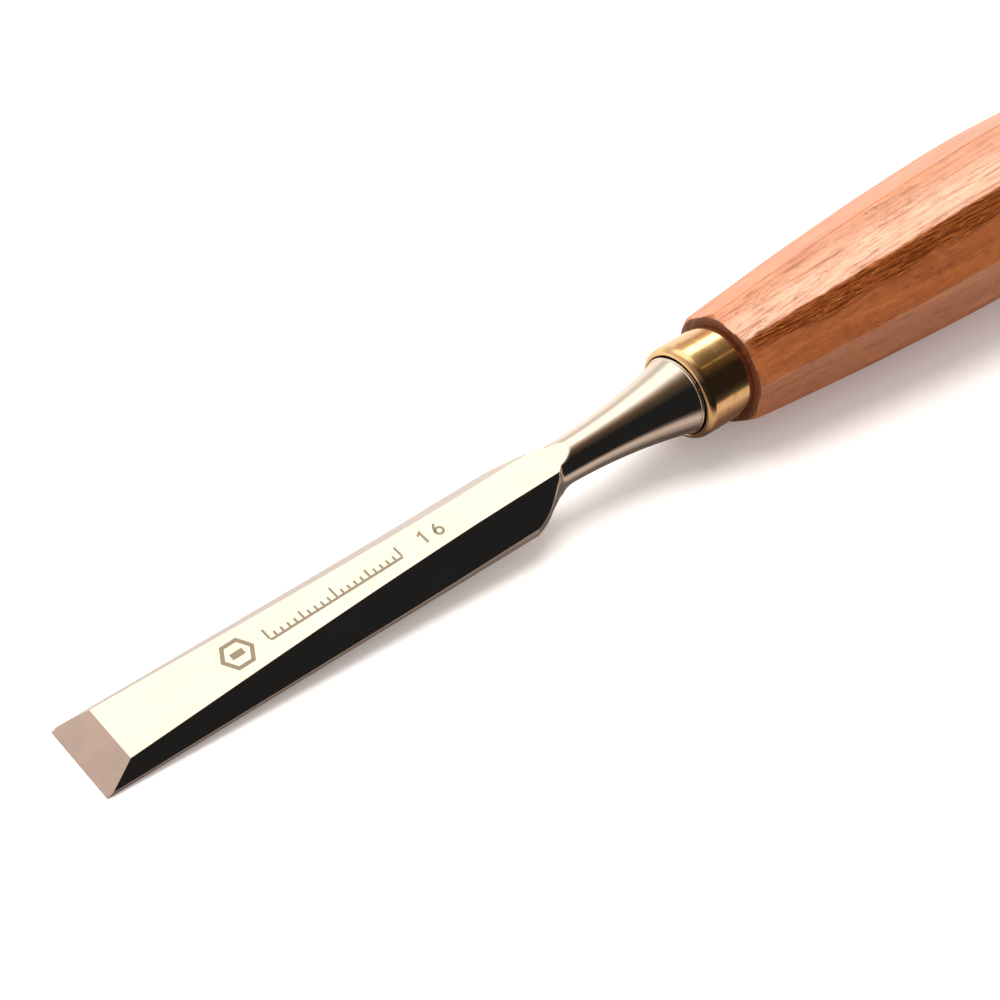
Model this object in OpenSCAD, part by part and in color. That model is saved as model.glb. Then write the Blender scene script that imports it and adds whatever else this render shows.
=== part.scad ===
// Bevel-edge bench chisel: a one-piece forged blade with its neck, bolster and
// tang, a brass cup ferrule, and a bellied octagonal handle of wood.
// Millimetres. The origin is the middle of the cutting edge. +X runs along the
// tool to the handle's end, +Z points up from the blade's flat back, and Y is
// across the blade.

/* [Blade] */
// Width of the cutting edge
blade_w = 16; // [12:1:17]
// Length from the cutting edge to the start of the shoulder
blade_l = 92; // [70:1:110]
// Thickness at the top of the cutting bevel
tip_t = 3.5; // [2.5:0.1:4]
// Thickness at the shoulder
shoulder_t = 7.4; // [6.8:0.1:7.6]
// Angle of the cutting bevel to the flat back
bevel_angle = 30; // [25:1:35]
// Angle of the side bevels to the flat back
side_angle = 51; // [45:1:56]
// Height of the square side land at the cutting edge
land_tip = 0.7; // [0.5:0.1:1.5]
// Height of the square side land at the shoulder
land_shoulder = 1.4; // [1:0.1:2.6]
// Angle of the sloping shoulders to the tool's axis
shoulder_angle = 30; // [25:1:40]
// Radius of the hollow between each shoulder and the neck
shoulder_hollow = 5; // [4:1:10]
// Rounding of the shoulders' outer corners
shoulder_round = 3; // [1:0.5:4]

/* [Neck and bolster] */
// Height of the tool's long axis above the flat back
axis_h = 4.4; // [4.2:0.1:4.6]
// Radius of the neck at its thinnest
neck_r = 4; // [3.6:0.1:4.2]
// Length of the flaring neck
neck_l = 30.4; // [26:0.2:36]
// Radius of the bolster's rim
bolster_r = 7.9; // [7.2:0.1:7.9]
// Thickness of the bolster's rim, chamfer and all
bolster_t = 1.8; // [1.6:0.1:3]

/* [Tang] */
// Length of the tang behind the bolster
tang_l = 66; // [50:1:80]
// Width of the square tang at the bolster
tang_root = 7; // [6:0.1:8]
// Width of the square tang where its point starts
tang_tip = 3.6; // [3:0.1:4.5]
// Length of the tang's point
tang_point = 4; // [3:1:6]

/* [Ferrule] */
// Outside radius of the ferrule
ferrule_r = 9.4; // [9.2:0.1:9.6]
// Length of the ferrule
ferrule_l = 11.4; // [10:0.1:16]
// Wall of the ferrule
ferrule_wall = 0.9; // [0.7:0.1:1]
// Thickness of the ferrule's inturned front lip
lip_t = 1.2; // [1:0.1:1.3]
// Gap all round between the lip and the bolster
lip_gap = 0.25; // [0.1:0.05:0.3]
// Rounding of the ferrule's front corner
ferrule_round = 1.1; // [0.6:0.1:1.1]

/* [Handle] */
// Length of the handle behind the ferrule
handle_l = 135; // [110:1:150]
// Half the width across the flats at the front
handle_front_r = 10.8; // [10:0.1:11]
// Half the width across the flats at the belly
handle_belly_r = 16; // [13:0.1:17]
// Half the width across the flats at the end
handle_end_r = 13.2; // [11:0.1:14]
// Distance of the belly from the handle's front
belly_at = 85; // [60:1:90]
// Radius of the domed end
dome_r = 26; // [20:1:40]

/* [Hidden] */

// Half width of the blade's tongue where it dies into the neck
tongue_w = neck_r - 0.2;

// Stations along the tool
bevel_l = tip_t / tan(bevel_angle);
slope_drop = blade_w / 2 - tongue_w - shoulder_hollow * (1 - cos(shoulder_angle));
shoulder_l = slope_drop / tan(shoulder_angle) + shoulder_hollow * sin(shoulder_angle);
neck_start = blade_l + shoulder_l;
rim_x = neck_start + neck_l;
bolster_back = rim_x + bolster_t;
ferrule_front = bolster_back - lip_t;
ferrule_back = ferrule_front + ferrule_l;
handle_end = ferrule_back + handle_l;
tang_end = bolster_back + tang_l;

// Blade
top_slope = (shoulder_t - tip_t) / (blade_l - bevel_l);
land_slope = atan((land_shoulder - land_tip) / blade_l);
// The neck's front end is a cone that rises out of the blade's top face
nose_l = 5;
nose_r = neck_r - 0.8;
// The neck flares on one hollow arc, level at its start, to the rim's chamfer
rim_chamfer = 0.3;
flare_rise = bolster_r - rim_chamfer - neck_r;
flare_r = (neck_l * neck_l + flare_rise * flare_rise) / (2 * flare_rise);

// Ferrule and handle
tenon_r = ferrule_r - ferrule_wall;
// How far the tenon's core runs on into the handle's body
tenon_root = 10;
lip_r = bolster_r + lip_gap;
back_chamfer = 0.2;
// Turned chamfer that takes the corners off the handle's front
front_chamfer = 1.5;
arc_steps = 12;
belly_power = 1.6;
tail_power = 2;
// Length of the straight runs that make up each facet's curve
profile_step = 9;
// Size of the blocks that cut waste away
cut = 60;
round_fn = 96;

// Turns a profile drawn as [radius, distance along the tool] round the axis.
module turned() {
    translate([0, 0, axis_h])
        rotate([0, 90, 0])
            rotate_extrude($fn = round_fn)
                children();
}

// Extrudes a profile drawn as [along, up] across the tool.
module across(width) {
    rotate([90, 0, 0])
        linear_extrude(height = width, center = true)
            children();
}

// Extrudes an outline drawn as [along, across] upwards from the flat back.
module upwards(height) {
    linear_extrude(height = height)
        children();
}

// The blade seen from the side: cutting bevel, then the gently rising top.
module side_profile() {
    top_end = shoulder_t + top_slope * shoulder_l;
    polygon([
        [0, 0],
        [bevel_l, tip_t],
        [neck_start, top_end],
        [neck_start + tongue_w, top_end],
        [neck_start + tongue_w, 0],
    ]);
}

// Points along an arc from one angle to another.
function arc(centre, r, from, to) = [
    for (i = [0 : arc_steps])
        let (a = from + (to - from) * i / arc_steps)
            centre + r * [cos(a), sin(a)]
];

// The blade seen from above: parallel sides, rounded sloping shoulders, then
// a hollow on each side down to a round-ended tongue on the neck.
module plan_outline() {
    half = blade_w / 2;
    corner_x = blade_l - shoulder_round * tan(shoulder_angle / 2);
    corner = arc([corner_x, half - shoulder_round], shoulder_round, 90, 90 - shoulder_angle);
    hollow = arc([neck_start, tongue_w + shoulder_hollow], shoulder_hollow, 270 - shoulder_angle, 270);
    tongue = arc([neck_start, 0], tongue_w, 90, 0);
    left = concat([[0, half]], corner, hollow, tongue);
    right = [for (i = [len(left) - 2 : -1 : 0]) [left[i][0], -left[i][1]]];
    polygon(concat(left, right));
}

// One side bevel's waste, on the side of the blade where Y is positive.
module side_waste() {
    translate([0, blade_w / 2, land_tip])
        rotate([0, -land_slope, 0])
            rotate([180 - side_angle, 0, 0])
                translate([-cut / 2, 0, -cut])
                    cube([neck_start + cut, cut, cut]);
}

module blade_bar() {
    difference() {
        intersection() {
            across(blade_w)
                side_profile();
            upwards(shoulder_t * 2)
                plan_outline();
        }
        side_waste();
        mirror([0, 1, 0])
            side_waste();
    }
}

// The round neck: a short cone out of the blade, then one hollow flare to the rim.
module neck_profile() {
    polygon([
        [0, neck_start - nose_l],
        [nose_r, neck_start - nose_l],
        [neck_r, neck_start],
        [0, neck_start],
    ]);
    difference() {
        translate([0, neck_start])
            square([bolster_r, neck_l]);
        translate([neck_r + flare_r, neck_start])
            circle(r = flare_r, $fn = round_fn * 8);
    }
}

module bolster_profile() {
    polygon([
        [0, rim_x],
        [bolster_r - rim_chamfer, rim_x],
        [bolster_r, rim_x + rim_chamfer],
        [bolster_r, bolster_back],
        [0, bolster_back],
    ]);
}

// One view of the square tang: a long taper that ends in a short point.
module tang_profile() {
    root = tang_root / 2;
    tip = tang_tip / 2;
    polygon([
        [bolster_back, -root],
        [bolster_back, root],
        [tang_end - tang_point, tip],
        [tang_end, tip / 4],
        [tang_end, -tip / 4],
        [tang_end - tang_point, -tip],
    ]);
}

module tang() {
    translate([0, 0, axis_h])
        intersection() {
            across(tang_root)
                tang_profile();
            translate([0, 0, -tang_root / 2])
                upwards(tang_root)
                    tang_profile();
        }
}

// Piece 1: blade, neck, bolster and tang, forged and ground from one bar.
module blade() {
    color("gainsboro") {
        blade_bar();
        turned() {
            neck_profile();
            bolster_profile();
        }
        tang();
    }
}

// The ferrule's section: a thin wall with a rounded front corner and a lip.
module ferrule_profile() {
    difference() {
        union() {
            translate([0, ferrule_front])
                square([ferrule_r - ferrule_round, ferrule_l]);
            translate([0, ferrule_front + ferrule_round])
                square([ferrule_r, ferrule_l - ferrule_round - back_chamfer]);
            translate([ferrule_r - ferrule_round, ferrule_front + ferrule_round])
                circle(r = ferrule_round, $fn = round_fn);
            polygon([
                [0, ferrule_back - back_chamfer],
                [ferrule_r, ferrule_back - back_chamfer],
                [ferrule_r - back_chamfer, ferrule_back],
                [0, ferrule_back],
            ]);
        }
        translate([0, ferrule_front - lip_t])
            square([lip_r, ferrule_l + 2 * lip_t]);
        translate([0, ferrule_front + lip_t])
            square([tenon_r, ferrule_l]);
    }
}

// Piece 2: the brass cup that binds the front of the handle.
module ferrule() {
    color("goldenrod")
        turned()
            ferrule_profile();
}

// Half the width across the flats at a distance x behind the handle's front.
function handle_half(x) =
    x < belly_at
    ? handle_belly_r
        - (handle_belly_r - handle_front_r) * pow((belly_at - x) / belly_at, belly_power)
    : handle_belly_r
        - (handle_belly_r - handle_end_r)
        * pow((x - belly_at) / (handle_l - belly_at), tail_power);

// One pair of facets, seen from the side.
module facet_profile() {
    steps = [for (x = [0 : profile_step : handle_l - profile_step / 2]) x, handle_l];
    upper = [for (x = steps) [ferrule_back + x, handle_half(x)]];
    lower = [for (i = [len(upper) - 1 : -1 : 0]) [upper[i][0], -upper[i][1]]];
    polygon(concat(upper, lower));
}

// The turned envelope that trims the eight-sided handle: chamfer and dome.
module handle_envelope() {
    corner_r = handle_front_r / cos(22.5);
    intersection() {
        polygon([
            [0, ferrule_back],
            [corner_r - front_chamfer, ferrule_back],
            [corner_r + cut, ferrule_back + front_chamfer + cut],
            [corner_r + cut, handle_end],
            [0, handle_end],
        ]);
        union() {
            translate([0, handle_end - dome_r])
                intersection() {
                    circle(r = dome_r, $fn = round_fn * 2);
                    square(dome_r);
                }
            translate([0, ferrule_back])
                square([dome_r, handle_l - dome_r]);
        }
    }
}

module octagon_body() {
    intersection() {
        translate([0, 0, axis_h])
            intersection_for(turn = [0 : 45 : 135])
                rotate([turn, 0, 0])
                    across(cut * 2)
                        facet_profile();
        turned()
            handle_envelope();
    }
}

// Piece 3: the octagonal handle, with a turned tenon inside the ferrule and a
// tapered socket that the tang is driven into.
module handle() {
    color("peru")
        difference() {
            union() {
                octagon_body();
                turned()
                    translate([0, bolster_back])
                        square([tenon_r, ferrule_back - bolster_back + tenon_root]);
            }
            tang();
        }
}

blade();
ferrule();
handle();
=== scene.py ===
from math import atan2, cos, hypot, pi, radians, sin, sqrt, tan

import bmesh
import bpy
from mathutils import Matrix, Vector, noise


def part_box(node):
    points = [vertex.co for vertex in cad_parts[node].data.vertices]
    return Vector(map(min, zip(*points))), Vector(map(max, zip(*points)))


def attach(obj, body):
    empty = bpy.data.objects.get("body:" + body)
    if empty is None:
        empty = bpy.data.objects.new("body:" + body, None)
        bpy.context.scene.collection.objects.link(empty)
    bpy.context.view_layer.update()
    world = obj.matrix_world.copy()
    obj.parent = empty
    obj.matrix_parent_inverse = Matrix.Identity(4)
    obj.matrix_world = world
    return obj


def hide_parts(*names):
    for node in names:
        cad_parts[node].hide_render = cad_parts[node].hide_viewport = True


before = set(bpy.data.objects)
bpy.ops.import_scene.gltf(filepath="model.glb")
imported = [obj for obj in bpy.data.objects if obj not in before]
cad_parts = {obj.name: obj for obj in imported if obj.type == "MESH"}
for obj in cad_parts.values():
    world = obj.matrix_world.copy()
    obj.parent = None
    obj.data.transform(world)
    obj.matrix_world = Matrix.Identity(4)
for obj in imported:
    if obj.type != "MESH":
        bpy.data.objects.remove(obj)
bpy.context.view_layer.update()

MM = 0.001

# ---------------------------------------------------------------- sizes, in mm
blade_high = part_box("blade")[1] / MM
ferrule_low, ferrule_high = (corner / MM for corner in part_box("ferrule"))
handle_low, handle_high = (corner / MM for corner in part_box("handle"))

HALF_W = blade_high.y
AXIS_Z = (ferrule_low.z + ferrule_high.z) / 2
FERRULE_FRONT = ferrule_low.x
FERRULE_BACK = ferrule_high.x
FERRULE_R = ferrule_high.y
TENON_FRONT = handle_low.x
HANDLE_END = handle_high.x
HANDLE_BELLY_R = handle_high.y
TANG_END = blade_high.x

# Blade. Each list is a curve through (distance from the cutting edge, size) points.
EDGE_T = 0.04
TIP_T = 3.5
BEVEL_ANGLE = radians(30)
BEVEL_L = TIP_T / tan(BEVEL_ANGLE)
TOP_SLOPE = 0.0453
# Height of the narrow side lands
LAND_HEIGHT = [(0, 0.7), (60, 1.1), (92, 2.0)]
LAND_START = LAND_HEIGHT[0][1] / tan(BEVEL_ANGLE)
# Half the width of the flat top between the side bevels
FLAT_EDGE = [(0, 6.1), (60, 3.8), (80, 3.4)]
# Half the width of the shoulder, at its crest and at its foot
SHOULDER_CREST = [(91, 8), (94, 7), (97, 5.2), (99, 3.4), (101, 1.2)]
SHOULDER_FOOT = [(91, 8), (94, 6.9), (97, 5.1), (99, 4), (101, 3.1)]
# How far the wall swells out between foot and crest
FOOT_BULGE = 1 / 3
WALL_BELLY = 0.7

# Neck and bolster
NECK_START = 100.61
NECK_R = 4.15
RIM_R = 7.9
RIM_CHAMFER = 0.3
RIM_X = FERRULE_FRONT - 0.6
BOLSTER_BACK = TENON_FRONT
FLARE_L = RIM_X - NECK_START
FLARE_RISE = RIM_R - RIM_CHAMFER - NECK_R
FLARE_R = (FLARE_L ** 2 + FLARE_RISE ** 2) / (2 * FLARE_RISE)
# The ground section stops changing at FROZEN_X, and the top face runs out on the neck at FLAT_END
FROZEN_X = 101.0
FLAT_END = 104.0
FLAT_RISE = 0.75
FLAT_RISE_POWER = 1.2
TANG_ROOT = 3.5
TANG_TIP = 1.8
TANG_POINT = 4

# Ferrule
LIP_R = 8.15
LIP_T = 1.2
TENON_R = 8.5

# Handle
HANDLE_FRONT_R = 10.8
HANDLE_TAIL_R = 13.2
BELLY_AT = 85
HANDLE_L = HANDLE_END - FERRULE_BACK
DOME_R = 26


# ---------------------------------------------------------------- small maths
def clamp(value, low=0.0, high=1.0):
    return max(low, min(high, value))


def mix(a, b, share):
    return a + (b - a) * share


def smoothstep(start, end, value):
    share = clamp((value - start) / (end - start))
    return share * share * (3 - 2 * share)


def smooth_max(a, b, width):
    """The larger of two lengths, with a soft change over where they are within width."""
    if width <= 0:
        return max(a, b)
    overlap = max(width - abs(a - b), 0) / width
    return max(a, b) + overlap * overlap * width / 4


def smooth_min(a, b, width):
    return -smooth_max(-a, -b, width)


def steps(start, end, count):
    """count even steps from start to end, without start itself."""
    return [mix(start, end, i / count) for i in range(1, count + 1)]


def curve_through(points, x):
    """A smooth curve with no overshoot through (x, y) points, level past both ends."""
    if x <= points[0][0]:
        return points[0][1]
    if x >= points[-1][0]:
        return points[-1][1]
    rises = [(b[1] - a[1]) / (b[0] - a[0]) for a, b in zip(points, points[1:])]
    slopes = [rises[0]]
    for before, after in zip(rises, rises[1:]):
        slopes.append(0 if before * after <= 0 else 2 * before * after / (before + after))
    slopes.append(rises[-1])
    i = max(n for n in range(len(points) - 1) if points[n][0] <= x)
    (x0, y0), (x1, y1) = points[i], points[i + 1]
    span = x1 - x0
    t = (x - x0) / span
    return ((2 * t**3 - 3 * t**2 + 1) * y0 + (t**3 - 2 * t**2 + t) * span * slopes[i]
            + (3 * t**2 - 2 * t**3) * y1 + (t**3 - t**2) * span * slopes[i + 1])


# ---------------------------------------------------------------- mesh helpers
def loft(name, rings):
    """A closed skin through rings of (x, y, z) points in mm, capped at both ends."""
    count = len(rings[0])
    verts = [Vector(point) * MM for ring in rings for point in ring]
    faces = [list(range(count))[::-1]]
    for r in range(len(rings) - 1):
        for i in range(count):
            j = (i + 1) % count
            a, b = r * count, (r + 1) * count
            faces.append([a + i, a + j, b + j, b + i])
    last = (len(rings) - 1) * count
    faces.append([last + i for i in range(count)])
    return mesh_object(name, verts, faces)


def mesh_object(name, verts, faces):
    mesh = bpy.data.meshes.new(name)
    mesh.from_pydata(verts, [], faces)
    work = bmesh.new()
    work.from_mesh(mesh)
    bmesh.ops.recalc_face_normals(work, faces=work.faces)
    work.to_mesh(mesh)
    work.free()
    piece = bpy.data.objects.new(name, mesh)
    bpy.context.scene.collection.objects.link(piece)
    return piece


def shade(piece, sharp_degrees):
    """Smooth shading that keeps flats flat, with sharp edges past an angle."""
    piece.data.shade_smooth()
    piece.data.set_sharp_from_angle(angle=radians(sharp_degrees))
    weighted = piece.modifiers.new("flat_faces", "WEIGHTED_NORMAL")
    weighted.weight = 100
    weighted.keep_sharp = True


def dress(piece, materials, pick=None):
    """Gives a piece its materials. pick(face centre in mm, normal) says which one a face has."""
    for material in materials:
        piece.data.materials.append(material)
    if pick:
        for face in piece.data.polygons:
            face.material_index = pick(face.center / MM, face.normal)


# ---------------------------------------------------------------- blade
BOTTOM_STEPS, WALL_STEPS, BEVEL_STEPS, TOP_STEPS, ROUND_STEPS = 14, 16, 16, 14, 4
BACK_ROUND, LAND_ROUND, TOP_ROUND = 0.10, 0.08, 0.07
SHOULDER_ROUND, ROOT_ROUND = 0.5, 1.3
# A soft corner takes at most this share of the sides it joins
ROUND_SHARE = 0.3
# The land stays this far below the top face, or this share of the thickness at the thin edge
EDGE_GAP, EDGE_GAP_SHARE = 0.06, 0.3
BACK_RISE, BACK_RISE_SPAN = 0.25, (98, 103)
CREASE_SHARE, CREASE_SPAN = 0.45, (98.6, 101.4)
ROUNDING_SPAN = (92.5, 98)
BELLY_SPAN = (92.5, 100)
# Where the section starts to run into the neck, and how soft the join is along the way
BLEND_START = 90
JOIN_SOFT, JOIN_SOFTER, JOIN_SPAN = 0.2, 0.9, (97.5, 100.5)
SPREAD_END = 112
FLAT_SOFT = 0.12
LEVEL_SINE = 0.1
# The rings lie closest together between these two places
DENSE_START, DENSE_END = 88, 106
# Soft corner of the bolster's rim: (distance behind its face, change in radius)
RIM_CORNER = ((0.08, -0.13), (0.2, -0.04), (RIM_CHAMFER, 0))


def top_height(x):
    """Height of the blade's upper side: the cutting bevel, the top face, then its run-out on the neck."""
    if x <= BEVEL_L:
        return mix(EDGE_T, TIP_T, x / BEVEL_L)
    run_out = max(0, x - FROZEN_X) / (FLAT_END - FROZEN_X)
    return TIP_T + TOP_SLOPE * (x - BEVEL_L) + FLAT_RISE * run_out ** FLAT_RISE_POWER


def back_height(x):
    """Height of the underside: the flat back, then the start of the neck."""
    return BACK_RISE * smoothstep(*BACK_RISE_SPAN, x)


def neck_radius(x):
    along = clamp(x - NECK_START, 0, FLARE_L)
    return NECK_R + FLARE_R - sqrt(FLARE_R ** 2 - along ** 2)


def rounded_path(corners, rounds, counts):
    """Points along straight sides joined by small soft corners. counts has one number per side."""
    points = [corners[0]]
    reach = []
    for i in range(1, len(corners) - 1):
        before = (corners[i] - corners[i - 1]).length
        after = (corners[i + 1] - corners[i]).length
        reach.append(min(rounds[i - 1], ROUND_SHARE * before, ROUND_SHARE * after))
    for i in range(1, len(corners)):
        start = points[-1]
        last = i == len(corners) - 1
        along = (corners[i] - corners[i - 1]).normalized()
        end = corners[i] if last else corners[i] - along * reach[i - 1]
        points += [start.lerp(end, share) for share in steps(0, 1, counts[i - 1])]
        if not last:
            onward = corners[i] + (corners[i + 1] - corners[i]).normalized() * reach[i - 1]
            for t in steps(0, 1, ROUND_STEPS):
                points.append(end * (1 - t) ** 2 + corners[i] * 2 * t * (1 - t) + onward * t * t)
    return points


def half_section(x):
    """Half of the ground bar's section at x, from the middle of the back to the middle of the top."""
    crest = curve_through(SHOULDER_CREST, x)
    foot = curve_through(SHOULDER_FOOT, x)
    land = curve_through(LAND_HEIGHT, x)
    full_top = TIP_T + TOP_SLOPE * (x - BEVEL_L)
    slope = (full_top - land) / (HALF_W - curve_through(FLAT_EDGE, x))
    top = top_height(x)
    base = back_height(x)
    top_half = min(crest, HALF_W - (top - land) / slope)
    gap = min(EDGE_GAP, EDGE_GAP_SHARE * top)
    brow = min(land + (HALF_W - crest) * slope, top - gap)
    crease = mix(brow, mix(base, top, CREASE_SHARE), smoothstep(*CREASE_SPAN, x))
    wall_top = mix(foot, crest, (crease - base) / (brow - base))
    outline = ((0, base), (foot, base), (wall_top, crease), (top_half, top), (0, top))
    corners = [Vector(point) for point in outline]
    counts = (BOTTOM_STEPS, WALL_STEPS, BEVEL_STEPS, TOP_STEPS)
    softer = smoothstep(*ROUNDING_SPAN, x)
    back_round = mix(BACK_ROUND, ROOT_ROUND, softer)
    land_round = mix(LAND_ROUND, SHOULDER_ROUND, softer)
    rounds = (back_round, land_round, TOP_ROUND)
    points = rounded_path(corners, rounds, counts)
    bulge = 4 * (FOOT_BULGE * (foot - wall_top) + WALL_BELLY * smoothstep(*BELLY_SPAN, x))
    for point in points[BOTTOM_STEPS:BOTTOM_STEPS + WALL_STEPS + 2 * ROUND_STEPS]:
        up = clamp((point.y - base) / (crease - base))
        point.x += bulge * up * (1 - up)
    return points


def even_angles(count):
    return [mix(-pi / 2, pi / 2, i / (count - 1)) for i in range(count)]


def shoulder_half(x):
    """Half a section where the ground bar runs into the round neck."""
    soft = JOIN_SOFT + JOIN_SOFTER * smoothstep(*JOIN_SPAN, x)
    frozen = half_section(min(x, FROZEN_X))
    spread = even_angles(len(frozen))
    top = top_height(x) - AXIS_Z
    result = []
    for i, point in enumerate(frozen):
        angle = atan2(point.y - AXIS_Z, point.x)
        reach = hypot(point.x, point.y - AXIS_Z)
        fade = smoothstep(FROZEN_X - 1, FLAT_END - 1, x)
        radius = smooth_max(mix(reach, neck_radius(x), fade), neck_radius(x), soft * (1 - fade))
        angle = mix(angle, spread[i], smoothstep(FROZEN_X, SPREAD_END, x))
        if sin(angle) > LEVEL_SINE:
            radius = smooth_min(radius, top / sin(angle), FLAT_SOFT)
        if sin(angle) < -LEVEL_SINE:
            radius = smooth_min(radius, (back_height(x) - AXIS_Z) / sin(angle), FLAT_SOFT)
        result.append(Vector((radius * cos(angle), AXIS_Z + radius * sin(angle))))
    return result


def whole_ring(x, half):
    """A ring from half a section: up the +Y side, then down the -Y side."""
    left = [(x, p.x, p.y) for p in half]
    right = [(x, -p.x, p.y) for p in half[-2:0:-1]]
    return left + right


def round_half(radius, count):
    return [Vector((radius * cos(a), AXIS_Z + radius * sin(a))) for a in even_angles(count)]


def square_half(half, count):
    result = []
    for a in even_angles(count):
        radius = half / max(abs(cos(a)), abs(sin(a)))
        result.append(Vector((radius * cos(a), AXIS_Z + radius * sin(a))))
    return result


def blade_stations():
    stations = [0.0, 0.5, LAND_START, 1.8, 2.6, 3.6, 4.8, BEVEL_L]
    stations += steps(BEVEL_L, DENSE_START, 20)
    stations += steps(DENSE_START, DENSE_END, 90)
    stations += steps(DENSE_END, RIM_X, 36)
    return stations


def build_blade():
    rings = []
    for x in blade_stations():
        half = half_section(x) if x < BLEND_START else shoulder_half(x)
        rings.append(whole_ring(x, half))
    count = len(half)
    bolster = [(RIM_X + behind, RIM_R + change) for behind, change in RIM_CORNER]
    bolster += [(BOLSTER_BACK, RIM_R), (BOLSTER_BACK, TANG_ROOT * 1.5)]
    for x, radius in bolster:
        rings.append(whole_ring(x, round_half(radius, count)))
    tang = [(BOLSTER_BACK, TANG_ROOT), (TANG_END - TANG_POINT, TANG_TIP), (TANG_END, TANG_TIP / 4)]
    for x, half in tang:
        rings.append(whole_ring(x, square_half(half, count)))
    return loft("forged_blade", rings)


def blade_face(centre, normal):
    """0 is polished steel, 1 the ground cutting bevel."""
    return 1 if centre.x < BEVEL_L and normal.x < -0.4 and normal.z > 0.5 else 0


# ---------------------------------------------------------------- ferrule
def revolve(name, profile, segments):
    """A closed ring turned about the tool's axis from a closed (x, radius) profile in mm."""
    verts = []
    for s in range(segments):
        turn = 2 * pi * s / segments
        for x, radius in profile:
            verts.append(Vector((x, radius * cos(turn), AXIS_Z + radius * sin(turn))) * MM)
    faces = []
    count = len(profile)
    for s in range(segments):
        a, b = s * count, (s + 1) % segments * count
        for i in range(count):
            j = (i + 1) % count
            faces.append([a + i, a + j, b + j, b + i])
    return mesh_object(name, verts, faces)


def arc(centre, radius, start, end, count):
    """Points on an arc in degrees, both ends included."""
    turns = [radians(mix(start, end, i / count)) for i in range(count + 1)]
    return [(centre[0] + radius * cos(t), centre[1] + radius * sin(t)) for t in turns]


def build_ferrule():
    front, back = FERRULE_FRONT, FERRULE_BACK
    nose_l, nose_h = 1.7, 1.2
    back_round = 0.25
    bore = TENON_R + 0.05
    profile = [(front + 0.25, LIP_R), (front + 0.08, LIP_R + 0.02)]
    for x, up in arc((0, 0), 1, 176, 90, 14):
        profile.append((front + nose_l * (1 + x), FERRULE_R - nose_h * (1 - up)))
    profile += [(x, FERRULE_R) for x in steps(front + nose_l, back - back_round, 8)]
    profile += arc((back - back_round, FERRULE_R - back_round), back_round, 70, 0, 3)
    profile += [(back, bore), (front + LIP_T, bore), (front + LIP_T, LIP_R)]
    return revolve("brass_ferrule", profile, 160)


# ---------------------------------------------------------------- handle
FACETS = 8
FACET_DEGREES = 360 / FACETS
FACET_TURN = radians(FACET_DEGREES)
FACET_STEPS = 24
TORN_STEPS = 84
TORN_FACET = 2
EDGE_ROUND = 0.3
TORN_EDGE = radians(FACET_DEGREES * (TORN_FACET + 0.5))
TEAR_DEPTH = 0.2
FRONT_R = 10.15
SHOULDER_RISE = 1.75
SHOULDER_L = 1.7
SHOULDER_SOFT = 0.12
DOME_SOFT = 0.8
DOME_RUN = 6
BELLY_POWER = 1.6


def handle_half_width(x):
    """Half the width across the flats, x mm behind the handle's front."""
    if x < BELLY_AT:
        return HANDLE_BELLY_R - (HANDLE_BELLY_R - HANDLE_FRONT_R) * ((BELLY_AT - x) / BELLY_AT) ** BELLY_POWER
    return HANDLE_BELLY_R - (HANDLE_BELLY_R - HANDLE_TAIL_R) * ((x - BELLY_AT) / (HANDLE_L - BELLY_AT)) ** 2


def facet_angles():
    """Angles round the handle, closer together towards the facets' edges and on the torn facet."""
    angles = []
    for facet in range(FACETS):
        first = radians(FACET_DEGREES * (facet + 0.5))
        count = TORN_STEPS if facet == TORN_FACET else FACET_STEPS
        for i in range(count):
            share = i / count
            eased = share ** 1.25 if facet == TORN_FACET else share - 0.6 * sin(2 * pi * share) / (2 * pi)
            angles.append(first + FACET_TURN * eased)
    return angles


def octagon_radius(angle, half):
    """Distance to the eight-sided outline, with softly rounded edges."""
    off = (angle + FACET_TURN / 2) % FACET_TURN - FACET_TURN / 2
    near = half / cos(off)
    other = half / cos(FACET_TURN - abs(off))
    return smooth_min(near, other, EDGE_ROUND)


def grain_noise(x, y, seed):
    return noise.noise(Vector((x, y, seed)))


def torn_zone(x, across):
    """How strongly the grain is torn, 0 to 1, across mm below the upper near edge."""
    width = mix(2.6, 5.2, smoothstep(0, 30, x)) + 1.2 * grain_noise(x / 13, 0, 4.4)
    ragged = across + 0.5 * grain_noise(x / 2.5, 0, 8.8)
    band = smoothstep(-0.5, 0.15, ragged) * (1 - smoothstep(0.62 * width, width, across))
    return band * smoothstep(0.3, 3, x) * (1 - smoothstep(100, 122, x))


def painted_sheen_zone(x, across):
    """Painted sheen on the upper facet, 0 to 1, strongest along its near edge: a light tint that stands in
    for the soft highlight there.
    """
    share = -across / (2 * handle_half_width(x) * tan(FACET_TURN / 2))
    if share < -0.02 or share > 1:
        return 0
    return smoothstep(-0.02, 0.05, share) * (1 - 0.6 * smoothstep(0.3, 0.85, share))


def torn_depth(x, across):
    """Depth of the torn grain, as a share of the deepest tear."""
    zone = torn_zone(x, across)
    if zone <= 0:
        return 0
    drift = across - 0.05 * x
    tears = grain_noise(x / 8, drift / 0.34, 3.1) + 0.7 * grain_noise(x / 3.5, drift / 0.2, 7.7)
    return zone * smoothstep(-0.15, 0.55, tears)


def wear_depth(x, angle, radius):
    """Slight unevenness of hand-finished facets and edges."""
    around = angle * radius
    return 0.05 * grain_noise(x / 14, around / 5, 1.7) + 0.015 * grain_noise(x / 4, around / 0.8, 5.2)


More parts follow.
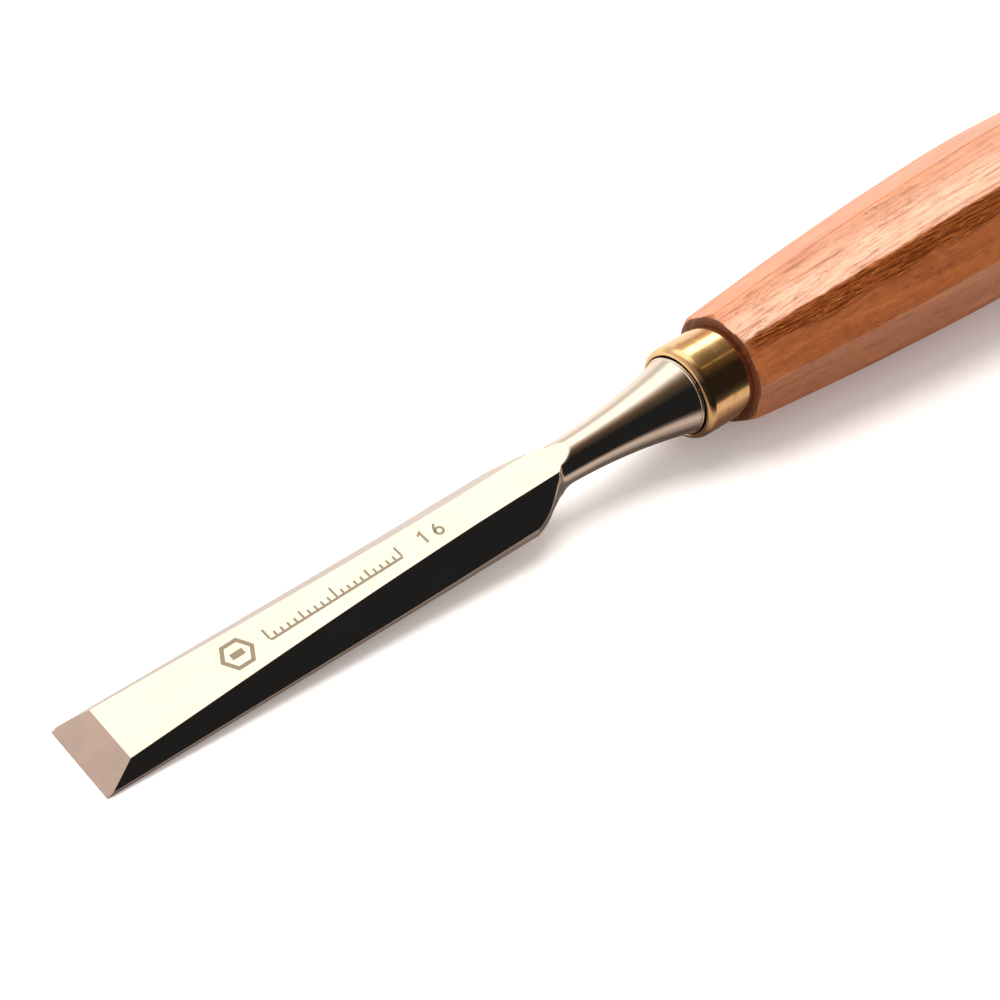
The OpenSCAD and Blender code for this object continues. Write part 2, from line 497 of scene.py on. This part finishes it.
def handle_stations():
    """Distances behind the handle's front, closer together at both ends."""
    stations = [0, 0.03, 0.1, 0.2, 0.35, 0.55, 0.8, 1.05, 1.35]
    dome_start = HANDLE_L - DOME_RUN
    stations += steps(SHOULDER_L, dome_start, 260)
    stations += [dome_start + DOME_RUN * sin(t) for t in steps(0, pi / 2 * 0.985, 26)]
    return stations


def front_radius(x):
    """The turned shoulder that takes the corners off the handle's front."""
    return FRONT_R + SHOULDER_RISE * sqrt(1 - (1 - clamp(x / SHOULDER_L)) ** 2)


def dome_radius(x):
    along = max(0, x - HANDLE_L + DOME_R)
    return sqrt(max(DOME_R ** 2 - along ** 2, 0.01))


def handle_rings(angles):
    rings, torn, zones, painted_sheen = [], [], [], []
    for x in handle_stations():
        half = handle_half_width(x)
        ring = []
        for angle in angles:
            radius = octagon_radius(angle, half)
            across = (angle - TORN_EDGE) * radius
            depth = torn_depth(x, across)
            fade = smoothstep(0, 1, x)
            radius -= (TEAR_DEPTH * depth + wear_depth(x, angle, radius)) * fade
            if x < SHOULDER_L:
                radius = smooth_min(radius, front_radius(x), SHOULDER_SOFT)
            radius = smooth_min(radius, dome_radius(x), DOME_SOFT)
            ring.append((FERRULE_BACK + x, radius * cos(angle), AXIS_Z + radius * sin(angle)))
            torn.append(depth)
            zones.append(torn_zone(x, across))
            # Share of painted sheen on the upper facet, kept as a layer for the wood's colour
            painted_sheen.append(painted_sheen_zone(x, across))
        rings.append(ring)
    return rings, {"torn": torn, "torn_zone": zones, "painted_sheen": painted_sheen}


def socket_rings(angles):
    """The tenon inside the ferrule and the tapered square socket for the tang, from inside out."""
    rings = []
    gap = 0.02
    point = (TANG_END + 0.2, 0.5)
    socket = (point, (TANG_END - TANG_POINT, TANG_TIP + gap), (TENON_FRONT, TANG_ROOT + gap))
    for x, half in socket:
        ring = []
        for angle in angles:
            radius = half / max(abs(cos(angle)), abs(sin(angle)))
            ring.append((x, radius * cos(angle), AXIS_Z + radius * sin(angle)))
        rings.append(ring)
    chamfer = 0.4
    tenon = [(TENON_FRONT, TENON_R - chamfer), (TENON_FRONT + chamfer, TENON_R)]
    tenon += [(FERRULE_BACK, TENON_R), (FERRULE_BACK, FERRULE_R + 0.1)]
    for x, radius in tenon:
        rings.append([(x, radius * cos(a), AXIS_Z + radius * sin(a)) for a in angles])
    return rings


def build_handle():
    angles = facet_angles()
    inner = socket_rings(angles)
    outer, layers = handle_rings(angles)
    piece = loft("wooden_handle", inner + outer)
    hidden = [0.0] * (len(inner) * len(angles))
    for name, values in layers.items():
        layer = piece.data.attributes.new(name, "FLOAT", "POINT")
        layer.data.foreach_set("value", hidden + values)
    return piece


def handle_face(centre, normal):
    """0 is wood along the grain, 1 end grain."""
    return 1 if abs(normal.x) > 0.85 else 0


# ---------------------------------------------------------------- materials
class Nodes:
    """Short calls that add nodes to a material or world tree."""

    def __init__(self, tree):
        self.tree = tree
        tree.nodes.clear()

    def add(self, kind, inputs=None, **settings):
        node = self.tree.nodes.new(kind)
        for name, value in settings.items():
            setattr(node, name, value)
        for name, value in (inputs or {}).items():
            self.put(node.inputs[name], value)
        return node

    def put(self, socket, value):
        if isinstance(value, bpy.types.NodeSocket):
            self.tree.links.new(value, socket)
        else:
            socket.default_value = value

    def math(self, operation, a, b=0.0, c=0.0):
        node = self.add("ShaderNodeMath", {0: a, 1: b, 2: c}, operation=operation)
        return node.outputs[0]

    def stretched(self, scale, shift=(0, 0, 0)):
        """Object coordinates in mm, divided by scale."""
        coords = self.add("ShaderNodeTexCoord").outputs["Object"]
        factors = [1 / (MM * s) for s in scale]
        mapping = self.add("ShaderNodeMapping", {"Vector": coords, "Scale": factors, "Location": shift})
        return mapping.outputs["Vector"]

    def noise(self, vector, detail=2.0, roughness=0.5, distortion=0.0):
        node = self.add("ShaderNodeTexNoise", {"Vector": vector, "Scale": 1.0, "Detail": detail,
                                               "Roughness": roughness, "Distortion": distortion})
        return node.outputs["Fac"]

    def ramp(self, value, stops, interpolation="EASE"):
        node = self.add("ShaderNodeValToRGB", {"Fac": value})
        node.color_ramp.interpolation = interpolation
        elements = node.color_ramp.elements
        while len(elements) < len(stops):
            elements.new(0.5)
        for element, (place, color) in zip(elements, stops):
            element.position = place
            element.color = (*color, 1)
        return node.outputs["Color"]

    def span(self, value, low, high, out_low=0.0, out_high=1.0):
        node = self.add("ShaderNodeMapRange", {"Value": value, "From Min": low, "From Max": high,
                                               "To Min": out_low, "To Max": out_high},
                        interpolation_type="SMOOTHSTEP")
        return node.outputs["Result"]

    def share(self, value, low, high):
        """Where value lies between low and high, from 0 to 1."""
        node = self.add("ShaderNodeMapRange", {"Value": value, "From Min": low, "From Max": high})
        return node.outputs["Result"]

    def blend(self, share, a, b):
        node = self.add("ShaderNodeMix", data_type="RGBA")
        self.put(node.inputs[0], share)
        self.put(node.inputs[6], a if isinstance(a, bpy.types.NodeSocket) else (*a, 1))
        self.put(node.inputs[7], b if isinstance(b, bpy.types.NodeSocket) else (*b, 1))
        return node.outputs[2]

    def bump(self, height, strength, distance_mm):
        distance = distance_mm * MM
        node = self.add("ShaderNodeBump", {"Height": height, "Strength": strength, "Distance": distance})
        return node.outputs["Normal"]

    def finish(self, **inputs):
        """Adds the surface shader. Inputs are given by name, with _ for a space."""
        shader = self.add("ShaderNodeBsdfPrincipled")
        for name, value in inputs.items():
            socket = shader.inputs[name.replace("_", " ")]
            if isinstance(value, tuple) and len(value) == 3:
                value = (*value, 1)
            self.put(socket, value)
        output = self.add("ShaderNodeOutputMaterial")
        self.tree.links.new(shader.outputs[0], output.inputs[0])


def new_material(name):
    material = bpy.data.materials.new(name)
    material.use_nodes = True
    return material, Nodes(material.node_tree)


def polished_steel():
    material, n = new_material("polished_steel")
    haze = n.noise(n.stretched((9, 5, 5)), 3.0)
    hairs = n.noise(n.stretched((12, 0.05, 0.05)), 2.0)
    color = n.blend(n.span(haze, 0.3, 0.7), (0.70, 0.645, 0.595), (0.65, 0.60, 0.55))
    roughness = n.math("ADD", n.span(haze, 0.3, 0.75, 0.035, 0.07), n.span(hairs, 0.5, 0.8, 0.0, 0.05))
    waves = n.noise(n.stretched((14, 6, 6)), 1.0)
    relief = n.math("ADD", waves, n.math("MULTIPLY", hairs, 0.006))
    n.finish(Base_Color=color, Metallic=1.0, Roughness=roughness, Normal=n.bump(relief, 0.25, 0.02))
    return material


def ground_steel():
    material, n = new_material("ground_steel")
    lines = n.noise(n.stretched((0.06, 4, 0.06)), 3.0, 0.6)
    cloud = n.noise(n.stretched((3.5, 3.5, 3.5)), 2.0)
    color = n.blend(n.span(lines, 0.3, 0.7), (0.64, 0.55, 0.49), (0.74, 0.645, 0.58))
    color = n.blend(n.span(cloud, 0.35, 0.7, 0.0, 0.5), color, (0.60, 0.53, 0.49))
    roughness = n.math("ADD", n.span(cloud, 0.3, 0.7, 0.26, 0.36), n.span(lines, 0.4, 0.8, 0.0, 0.08))
    n.finish(Base_Color=color, Metallic=1.0, Roughness=roughness, Normal=n.bump(lines, 0.25, 0.01))
    return material


def etched_steel():
    material, n = new_material("etched_steel")
    speckle = n.noise(n.stretched((0.12, 0.12, 0.12)), 2.0)
    color = n.blend(n.span(speckle, 0.35, 0.65), (0.17, 0.135, 0.09), (0.26, 0.215, 0.155))
    n.finish(Base_Color=color, Metallic=0.3, Roughness=n.span(speckle, 0.3, 0.7, 0.5, 0.7),
             Normal=n.bump(speckle, 0.4, 0.01))
    return material


def brass():
    material, n = new_material("brass")
    patina = n.noise(n.stretched((2.2, 2.6, 2.6)), 4.0, 0.6)
    rings = n.noise(n.stretched((0.06, 6, 6)), 2.0)
    specks = n.noise(n.stretched((0.35, 0.35, 0.35)), 2.0, 0.6)
    clean = n.blend(n.span(rings, 0.35, 0.65), (0.69, 0.48, 0.24), (0.77, 0.55, 0.29))
    dull = n.blend(n.span(patina, 0.54, 0.80, 0.0, 0.8), clean, (0.46, 0.29, 0.11))
    color = n.blend(n.span(specks, 0.68, 0.80, 0.0, 0.7), dull, (0.34, 0.21, 0.09))
    roughness = n.math("ADD", n.span(patina, 0.35, 0.75, 0.07, 0.18), n.span(rings, 0.5, 0.8, 0.0, 0.05))
    relief = n.math("ADD", patina, n.math("MULTIPLY", rings, 0.12))
    n.finish(Base_Color=color, Metallic=1.0, Roughness=roughness, Normal=n.bump(relief, 0.3, 0.05))
    return material


def wood_along():
    material, n = new_material("wood_along")
    bands = n.noise(n.stretched((60, 2.6, 2.6)), 3.0, 0.55, 0.4)
    streaks = n.noise(n.stretched((38, 0.75, 0.75)), 3.0, 0.6, 0.25)
    fibres = n.noise(n.stretched((12, 0.22, 0.22)), 3.0, 0.65)
    pores = n.noise(n.stretched((3.4, 0.14, 0.14)), 1.0, 0.5)
    pore_beds = n.noise(n.stretched((26, 1.5, 1.5)), 2.0)
    figure = n.noise(n.stretched((2.6, 3.6, 3.6)), 3.0, 0.55, 0.6)
    # Layers from the handle: tear depth, the torn zone and the painted sheen
    torn, zone, painted_sheen = [n.add("ShaderNodeAttribute", attribute_name=layer).outputs["Fac"]
                        for layer in ("torn", "torn_zone", "painted_sheen")]
    base = n.ramp(bands, [
        (0.3, (0.26, 0.062, 0.011)),
        (0.5, (0.34, 0.090, 0.018)),
        (0.7, (0.43, 0.130, 0.032)),
    ])
    base = n.blend(n.span(figure, 0.35, 0.7, 0.0, 0.35), base, (0.45, 0.14, 0.034))
    # Painted sheen: the upper facet is tinted lighter and pinker towards its near edge, broken up by the
    # grain streaks
    base = n.blend(n.math("MULTIPLY", painted_sheen, n.span(streaks, 0.35, 0.7, 0.52, 0.25)), base, (0.77, 0.54, 0.41))
    base = n.blend(n.span(streaks, 0.5, 0.74, 0.0, 0.6), base, (0.19, 0.045, 0.009))
    base = n.blend(n.span(fibres, 0.48, 0.72, 0.0, 0.5), base, (0.14, 0.033, 0.007))
    open_pores = n.math("MULTIPLY", n.span(pores, 0.61, 0.70), n.span(pore_beds, 0.40, 0.6))
    base = n.blend(n.math("MULTIPLY", open_pores, 0.8), base, (0.06, 0.014, 0.004))
    splinters = n.noise(n.stretched((9, 0.16, 0.16), (0, 3, 0)), 3.0, 0.7)
    strands = n.noise(n.stretched((9, 0.2, 0.2), (9, 0, 5)), 3.0, 0.6)
    split = n.math("MULTIPLY", n.span(splinters, 0.46, 0.60), zone)
    base = n.blend(n.math("MULTIPLY", zone, 0.55), base, (0.25, 0.060, 0.008))
    base = n.blend(n.math("MULTIPLY", n.span(strands, 0.54, 0.68), zone), base, (0.50, 0.175, 0.045))
    base = n.blend(n.math("MULTIPLY", split, 0.75), base, (0.13, 0.022, 0.001))
    color = n.blend(n.span(torn, 0.1, 0.9, 0.0, 0.45), base, (0.11, 0.018, 0.001))
    relief = n.math("SUBTRACT", n.math("MULTIPLY", fibres, 0.6), open_pores)
    relief = n.math("SUBTRACT", relief, n.math("MULTIPLY", split, 1.5))
    roughness = n.math("ADD", n.span(streaks, 0.3, 0.8, 0.38, 0.5), n.math("MULTIPLY", zone, 0.25))
    shine = n.math("MULTIPLY_ADD", zone, -0.7, 0.85)
    n.finish(Base_Color=color, Roughness=roughness, Normal=n.bump(relief, 0.6, 0.09), Coat_Weight=shine,
             Coat_Roughness=0.38, Specular_IOR_Level=n.math("MULTIPLY", shine, 0.35))
    return material


def wood_end():
    material, n = new_material("wood_end")
    rings = n.noise(n.stretched((40, 0.8, 5)), 2.0, 0.5, 0.3)
    dots = n.noise(n.stretched((2, 0.16, 0.16)), 1.0)
    base = n.blend(n.span(rings, 0.35, 0.65), (0.115, 0.026, 0.007), (0.18, 0.045, 0.012))
    color = n.blend(n.span(dots, 0.56, 0.66, 0.0, 0.8), base, (0.03, 0.008, 0.004))
    n.finish(Base_Color=color, Roughness=0.62, Normal=n.bump(dots, 0.4, 0.06))
    return material


def glowing_floor_paper():
    material, n = new_material("glowing_floor_paper")
    fibre = n.noise(n.stretched((0.8, 0.8, 0.8)), 2.0)
    color = n.blend(n.span(fibre, 0.3, 0.7), (0.80, 0.795, 0.79), (0.82, 0.815, 0.81))
    # The floor glows faintly warm: painted fill light that lightens and warms the shadows cast on it
    n.finish(Base_Color=color, Roughness=0.9, Specular_IOR_Level=0.1, Emission_Color=(1.0, 0.86, 0.81),
             Emission_Strength=0.2)
    return material


# ---------------------------------------------------------------- marks
MARK_LINE = 0.5
MARK_LIFT = 0.012
EMBLEM_X, EMBLEM_R, EMBLEM_LINE = 31.0, 2.9, 0.75
BAR_HALF, BAR_LINE = 1.25, 1.3
SCALE_X, SCALE_Y, PITCH, TICKS = 37.0, -1.1, 1.4, 20
TICK_LINE = 0.42
DIGIT_Y, DIGIT_LINE = -1.3, 0.48
ONE_X, SIX_X, BOWL_R, STEM_R = 70.5, 73.6, 0.74, 2.24


class Plate:
    """Thin etched figures on the top face, drawn in mm as (x, y) paths with a width."""

    def __init__(self):
        self.verts = []
        self.faces = []

    def ribbon(self, path, width=MARK_LINE, closed=False):
        count = len(path)
        points = [Vector(p) for p in path]
        first = len(self.verts)
        for i, point in enumerate(points):
            before = points[i - 1] if i or closed else None
            after = points[(i + 1) % count] if i < count - 1 or closed else None
            headings = []
            if before is not None:
                headings.append((point - before).normalized())
            if after is not None:
                headings.append((after - point).normalized())
            heading = sum(headings, Vector((0, 0))).normalized()
            across = Vector((-heading.y, heading.x)) * width / 2 / heading.dot(headings[0])
            for side in (across, -across):
                for lift in (-MARK_LIFT, MARK_LIFT):
                    x, y = point + side
                    self.verts.append(Vector((x, y, top_height(x) + lift)) * MM)
        for i in range(count if closed else count - 1):
            a, b = first + 4 * i, first + 4 * ((i + 1) % count)
            for p, q in ((0, 1), (1, 3), (3, 2), (2, 0)):
                self.faces.append([a + p, a + q, b + q, b + p])
        if not closed:
            end = first + 4 * (count - 1)
            self.faces.append([first, first + 1, first + 3, first + 2])
            self.faces.append([end, end + 2, end + 3, end + 1])


def tick_height(tick):
    if tick % 10 == 0:
        return 2.6
    return 1.9 if tick % 5 == 0 else 1.2


def build_marks():
    """A hexagon with a bar, a short ruler scale and the blade's width in digits."""
    plate = Plate()
    plate.ribbon(arc((EMBLEM_X, 0), EMBLEM_R, 0, 300, 5), EMBLEM_LINE, closed=True)
    plate.ribbon([(EMBLEM_X - BAR_HALF, 0), (EMBLEM_X + BAR_HALF, 0)], BAR_LINE)
    plate.ribbon([(SCALE_X, SCALE_Y), (SCALE_X + TICKS * PITCH, SCALE_Y)])
    for tick in range(TICKS + 1):
        x = SCALE_X + tick * PITCH
        plate.ribbon([(x, SCALE_Y + MARK_LINE / 2), (x, SCALE_Y + tick_height(tick))], TICK_LINE)
    bowl_y = DIGIT_Y + 0.85
    plate.ribbon([(ONE_X - 0.75, DIGIT_Y + 2.1), (ONE_X, DIGIT_Y + 2.6), (ONE_X, DIGIT_Y)], DIGIT_LINE)
    plate.ribbon(arc((SIX_X, bowl_y), BOWL_R, 0, 345, 23), DIGIT_LINE, closed=True)
    plate.ribbon(arc((SIX_X + STEM_R - BOWL_R, bowl_y), STEM_R, 180, 128, 8), DIGIT_LINE)
    return mesh_object("etched_marks", plate.verts, plate.faces)


# ---------------------------------------------------------------- stage
def rest_slope(handle):
    """Slope of the table that the cutting edge and the handle's belly both touch."""
    return min(v.co.z / v.co.x for v in handle.data.vertices if v.co.x > FERRULE_BACK * MM)


def sloped_sheet(name, slope, half, lift=0.0):
    """A square sheet on the table, half mm to each side and lift mm above it."""
    corners = ((-half, -half), (half, -half), (half, half), (-half, half))
    verts = [Vector((x, y, slope * x + lift)) * MM for x, y in corners]
    return mesh_object(name, verts, [[0, 1, 2, 3]])


def build_floor(slope):
    floor = sloped_sheet("floor", slope, 2000)
    dress(floor, [glowing_floor_paper()])


# The gel's tint changes from the blade's to the handle's over this stretch, which slants across the table
GEL_CHANGE = (128, 133)
GEL_SHEAR = 0.55
GEL_NEAR, GEL_FAR = -160, 40


def build_gel(slope):
    """A tinted gel on the table. Only mirrored rays meet it, so it shades what polished surfaces mirror."""
    gel = sloped_sheet("table_gel", slope, 2000, 0.05)
    material, n = new_material("gel")
    coords = n.add("ShaderNodeTexCoord").outputs["Object"]
    separate = n.add("ShaderNodeSeparateXYZ", {0: coords})
    x, y = separate.outputs[0], separate.outputs[1]
    place = n.share(y, GEL_NEAR * MM, GEL_FAR * MM)

    def at(y_mm):
        return (y_mm - GEL_NEAR) / (GEL_FAR - GEL_NEAR)

    by_blade = n.ramp(place, [
        (at(-160), (0.01, 0.01, 0.01)),
        (at(-110), (0.04, 0.03, 0.03)),
        (at(-60), (0.09, 0.07, 0.06)),
        (at(-25), (0.45, 0.38, 0.33)),
        (at(-15), (0.36, 0.30, 0.26)),
        (at(-10), (0.20, 0.17, 0.15)),
        (at(10), (0.42, 0.39, 0.38)),
        (at(40), (0.68, 0.64, 0.60)),
    ], "LINEAR")
    by_handle = n.ramp(place, [
        (at(-160), (0.05, 0.05, 0.04)),
        (at(-115), (0.22, 0.17, 0.14)),
        (at(-75), (0.45, 0.36, 0.29)),
        (at(-35), (0.50, 0.43, 0.38)),
        (at(-15), (0.30, 0.21, 0.18)),
        (at(10), (0.50, 0.44, 0.42)),
        (at(40), (0.70, 0.65, 0.60)),
    ], "LINEAR")
    source = n.math("MULTIPLY_ADD", y, GEL_SHEAR, x)
    change = [edge * MM for edge in GEL_CHANGE]
    tint = n.blend(n.span(source, *change), by_blade, by_handle)
    sheer = n.add("ShaderNodeBsdfTransparent", {"Color": tint})
    output = n.add("ShaderNodeOutputMaterial")
    n.tree.links.new(sheer.outputs[0], output.inputs[0])
    gel.data.materials.append(material)
    gel.visible_camera = False
    gel.visible_diffuse = False
    gel.visible_shadow = False
    gel.visible_transmission = False


# Shares of a direction along the tool over which the studio changes to its far end and to its near side
FAR_END_SPAN = (0.50, 0.58)
SIDE_SPAN = (-0.4, -0.08)


def build_world():
    """Bands of light that polished surfaces mirror, by how far a ray leans over. The camera sees white."""
    world = bpy.data.worlds.new("studio")
    bpy.context.scene.world = world
    world.use_nodes = True
    n = Nodes(world.node_tree)
    direction = n.add("ShaderNodeTexCoord").outputs["Generated"]
    parts = n.add("ShaderNodeSeparateXYZ", {0: direction})
    x, y, z = parts.outputs
    lean = n.math("ARCTAN2", y, z)
    place = n.share(lean, -pi / 2, pi / 2)

    def at(degrees):
        return degrees / 180 + 0.5

    studio = n.ramp(place, [
        (at(-35), (0.02, 0.02, 0.02)),
        (at(-10), (0.12, 0.08, 0.05)),
        (at(0), (0.25, 0.17, 0.10)),
        (at(10), (0.65, 0.50, 0.40)),
        (at(25), (1.8, 1.7, 1.5)),
        (at(55), (1.8, 1.7, 1.5)),
        (at(65), (1.1, 1.0, 0.85)),
        (at(75), (0.95, 0.85, 0.70)),
        (at(90), (1.2, 1.1, 1.0)),
    ], "LINEAR")
    far_end = n.ramp(place, [
        (at(-90), (0.06, 0.05, 0.04)),
        (at(-80), (0.03, 0.02, 0.02)),
        (at(-35), (0.03, 0.02, 0.02)),
        (at(-12), (0.15, 0.10, 0.05)),
        (at(-8), (0.55, 0.40, 0.20)),
        (at(-4), (0.15, 0.10, 0.05)),
        (at(20), (0.30, 0.22, 0.15)),
        (at(30), (0.70, 0.60, 0.45)),
        (at(40), (3.6, 3.5, 3.3)),
        (at(50), (3.6, 3.5, 3.3)),
        (at(60), (1.1, 0.8, 0.6)),
        (at(75), (0.7, 0.45, 0.3)),
        (at(90), (1.2, 1.1, 1.0)),
    ], "LINEAR")
    studio = n.blend(n.span(x, *FAR_END_SPAN), studio, far_end)
    side = n.ramp(place, [
        (at(-40), (0.03, 0.028, 0.03)),
        (at(10), (0.45, 0.36, 0.32)),
        (at(40), (0.92, 0.74, 0.66)),
        (at(90), (1.0, 0.86, 0.78)),
    ], "LINEAR")
    color = n.blend(n.span(x, *SIDE_SPAN), side, studio)
    light = n.add("ShaderNodeBackground", {"Color": color, "Strength": 1.0})
    seen = n.add("ShaderNodeBackground", {"Color": (1, 1, 1, 1), "Strength": 1.0})
    camera_ray = n.add("ShaderNodeLightPath").outputs["Is Camera Ray"]
    both = n.add("ShaderNodeMixShader", {0: camera_ray, 1: light.outputs[0], 2: seen.outputs[0]})
    output = n.add("ShaderNodeOutputWorld")
    n.tree.links.new(both.outputs[0], output.inputs[0])


def build_sun(name, energy, spread, towards):
    """A broad soft lamp that glossy rays don't see: polished surfaces mirror the studio instead."""
    light = bpy.data.lights.new(name, "SUN")
    light.energy = energy
    light.angle = radians(spread)
    light.color = (1.0, 0.985, 0.965)
    lamp = bpy.data.objects.new(name, light)
    bpy.context.scene.collection.objects.link(lamp)
    lamp.rotation_euler = Vector(towards).to_track_quat("Z", "Y").to_euler()
    lamp.visible_glossy = False


CAMERA_LENS = 76.6
CAMERA_SENSOR = 36
CAMERA_TURN, CAMERA_RISE, CAMERA_ROLL = radians(-46.41), radians(48.43), radians(7.52)
CAMERA_AIM = (87.03, -1.09, 6.0)
CAMERA_DISTANCE = 374.7


def build_camera():
    data = bpy.data.cameras.new("camera")
    data.lens = CAMERA_LENS
    data.sensor_width = CAMERA_SENSOR
    camera = bpy.data.objects.new("camera", data)
    bpy.context.scene.collection.objects.link(camera)
    flat = cos(CAMERA_RISE)
    away = Vector((sin(CAMERA_TURN) * flat, -cos(CAMERA_TURN) * flat, sin(CAMERA_RISE)))
    camera.location = Vector(CAMERA_AIM) * MM + away * CAMERA_DISTANCE * MM
    facing = away.to_track_quat("Z", "Y").to_matrix().to_4x4()
    camera.matrix_world = Matrix.Translation(camera.location) @ facing @ Matrix.Rotation(CAMERA_ROLL, 4, "Z")
    bpy.context.scene.camera = camera


# ---------------------------------------------------------------- assembly
def seat(piece, node):
    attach(piece, "root")
    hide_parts(node)


build_camera()

blade = build_blade()
shade(blade, 25)
dress(blade, [polished_steel(), ground_steel()], blade_face)
seat(blade, "blade")

ferrule = build_ferrule()
shade(ferrule, 35)
dress(ferrule, [brass()])
seat(ferrule, "ferrule")

handle = build_handle()
shade(handle, 40)
dress(handle, [wood_along(), wood_end()], handle_face)
seat(handle, "handle")

marks = build_marks()
dress(marks, [etched_steel()])
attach(marks, "root")

slope = rest_slope(handle)
build_floor(slope)
build_gel(slope)
build_world()
build_sun("key", energy=4.45, spread=52, towards=(0.12, 0.50, 0.85))
build_sun("dome", energy=1.5, spread=160, towards=(0, 0, 1))
bpy.context.scene.view_settings.view_transform = "Standard"
